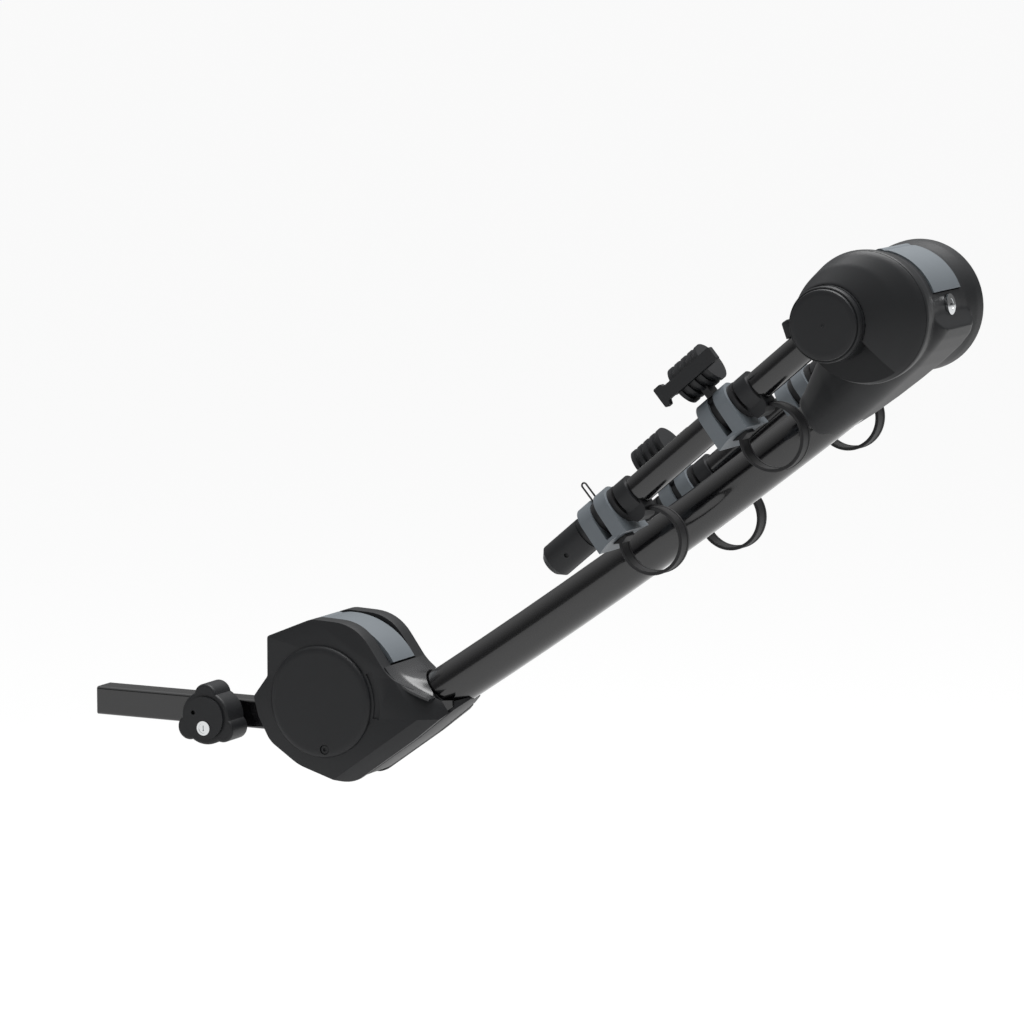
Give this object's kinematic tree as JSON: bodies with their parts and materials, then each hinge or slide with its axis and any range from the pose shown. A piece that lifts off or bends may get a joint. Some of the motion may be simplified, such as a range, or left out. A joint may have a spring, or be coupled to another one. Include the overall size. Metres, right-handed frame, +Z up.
{
  "type": "hitch bike rack",
  "caption": "Tilting mast bike carrier for a hitch receiver, with folding twin arms, strapped cradles, anti-sway cages and a knobbed locking hitch pin.",
  "frame": {"origin": "where the hitch pin's axis crosses the shank's centreline", "axes": "+X rearward away from the vehicle along the shank, +Z up, +Y to the vehicle's far side, away from the knob"},
  "size_m": [1.0273, 0.258, 0.6057],
  "materials": {
    "gloss_black_paint": "gloss",
    "zinc_steel": "satin",
    "black_plastic": "fine texture",
    "grey_plastic": "fine texture",
    "black_rubber": "smooth",
    "chrome_plate": "polished"
  },
  "bodies": {
    "hitch": {"hitch_shank": "gloss_black_paint", "bracket_cheeks": "gloss_black_paint", "latch_wheel": "zinc_steel", "pivot_bolt": "zinc_steel", "pivot_nut": "zinc_steel", "pivot_washers": "zinc_steel"},
    "pin_and_knob": {"hitch_pin": "zinc_steel", "pin_knob": "black_plastic", "knob_lock_barrel": "chrome_plate"},
    "knob_lock": {"knob_lock_plug": "chrome_plate"},
    "mast": {"mast_tube": "gloss_black_paint", "base_cover_near": "black_plastic", "base_cover_far": "black_plastic", "base_disc_near": "black_plastic", "base_disc_far": "black_plastic", "side_plate_near": "gloss_black_paint", "side_plate_far": "gloss_black_paint", "pivot_bushes": "zinc_steel", "base_screws": "zinc_steel", "base_saddle": "black_plastic", "tilt_lever_pin": "zinc_steel", "tilt_pawl_pin": "zinc_steel", "head_casing": "black_plastic", "head_bowl_near": "black_plastic", "head_bowl_far": "black_plastic", "head_frame": "zinc_steel", "fold_lever_pin": "zinc_steel", "fold_pawl_pin": "zinc_steel", "head_lock_barrel": "chrome_plate"},
    "tilt_lever": {"tilt_lever": "grey_plastic"},
    "tilt_pawl": {"tilt_pawl": "zinc_steel"},
    "fold_lever": {"fold_lever": "grey_plastic"},
    "fold_pawl": {"fold_pawl": "zinc_steel"},
    "head_lock": {"head_lock_plug": "chrome_plate"},
    "arms": {"arm_shaft": "zinc_steel", "arm_hub_near": "black_plastic", "arm_hub_far": "black_plastic", "hub_cap_near": "black_plastic", "hub_cap_far": "black_plastic", "arm_tube_near": "gloss_black_paint", "arm_tube_far": "gloss_black_paint", "arm_end_cap_near": "black_plastic", "arm_end_cap_far": "black_plastic", "cradle_high_near": "grey_plastic", "cradle_high_far": "grey_plastic", "cradle_low_near": "grey_plastic", "cradle_low_far": "grey_plastic", "cradle_pads_near": "black_rubber", "cradle_pads_far": "black_rubber", "strap_buckles_near": "grey_plastic", "strap_buckles_far": "grey_plastic", "pull_loops": "gloss_black_paint"},
    "cage_near": {"sway_cage_near": "black_plastic"},
    "cage_far": {"sway_cage_far": "black_plastic"},
    "strap_high_near_body": {"strap_high_near": "black_rubber"},
    "strap_high_far_body": {"strap_high_far": "black_rubber"},
    "strap_low_near_body": {"strap_low_near": "black_rubber"},
    "strap_low_far_body": {"strap_low_far": "black_rubber"}
  },
  "joints": [
    {"name": "pin_spin", "type": "hinge", "parent": "hitch", "child": "pin_and_knob", "pos_m": [0, 0, 0], "axis": [0, -1, 0], "continuous": true},
    {"name": "knob_lock_turn", "type": "hinge", "parent": "pin_and_knob", "child": "knob_lock", "pos_m": [0, -0.06, -0.011], "axis": [0, -1, 0], "range_deg": [0, 90]},
    {"name": "mast_tilt", "type": "hinge", "parent": "hitch", "child": "mast", "pos_m": [0.141, 0, 0.028], "axis": [0, -1, 0], "range_deg": [0, 54]},
    {"name": "tilt_lever_lift", "type": "hinge", "parent": "mast", "child": "tilt_lever", "pos_m": [0.12423, 0, 0.10827], "axis": [0, -1, 0], "range_deg": [0, 25], "stiffness_Nm_per_rad": 0.5, "springref_deg": -17.19},
    {"name": "tilt_pawl_swing", "type": "hinge", "parent": "mast", "child": "tilt_pawl", "pos_m": [0.15969, 0, 0.09234], "axis": [0, -1, 0], "range_deg": [0, 12]},
    {"name": "fold_lever_lift", "type": "hinge", "parent": "mast", "child": "fold_lever", "pos_m": [0.78634, 0, 0.53869], "axis": [0, -1, 0], "range_deg": [0, 25], "stiffness_Nm_per_rad": 0.5, "springref_deg": -17.19},
    {"name": "fold_pawl_swing", "type": "hinge", "parent": "mast", "child": "fold_pawl", "pos_m": [0.75238, 0, 0.52228], "axis": [0, -1, 0], "range_deg": [0, 12]},
    {"name": "arms_fold", "type": "hinge", "parent": "mast", "child": "arms", "pos_m": [0.75903, 0, 0.47374], "axis": [0, -1, 0], "range_deg": [0, 90]},
    {"name": "head_lock_turn", "type": "hinge", "parent": "mast", "child": "head_lock", "pos_m": [0.84827, 0, 0.48868], "axis": [0.9882, 0, 0.153], "range_deg": [0, 90]},
    {"name": "strap_high_near_lift", "type": "hinge", "parent": "arms", "child": "strap_high_near_body", "pos_m": [0.6563, -0.101, 0.3492], "axis": [0, 1, 0], "range_deg": [0, 60]},
    {"name": "strap_high_far_lift", "type": "hinge", "parent": "arms", "child": "strap_high_far_body", "pos_m": [0.6563, 0.101, 0.3492], "axis": [0, 1, 0], "range_deg": [0, 60]},
    {"name": "strap_low_near_lift", "type": "hinge", "parent": "arms", "child": "strap_low_near_body", "pos_m": [0.52094, -0.101, 0.2336], "axis": [0, 1, 0], "range_deg": [0, 60]},
    {"name": "strap_low_far_lift", "type": "hinge", "parent": "arms", "child": "strap_low_far_body", "pos_m": [0.52094, 0.101, 0.2336], "axis": [0, 1, 0], "range_deg": [0, 60]},
    {"name": "cage_near_swing", "type": "hinge", "parent": "arms", "child": "cage_near", "pos_m": [0.75903, -0.101, 0.47374], "axis": [0.7604, 0, 0.6494], "range_deg": [0, 90]},
    {"name": "cage_far_swing", "type": "hinge", "parent": "arms", "child": "cage_far", "pos_m": [0.75903, 0.101, 0.47374], "axis": [-0.7604, 0, -0.6494], "range_deg": [0, 90]}
  ],
  "couplings": [
    {"joint": "tilt_pawl_swing", "follows": "tilt_lever_lift", "ratio": 0.48},
    {"joint": "fold_pawl_swing", "follows": "fold_lever_lift", "ratio": 0.48}
  ]
}
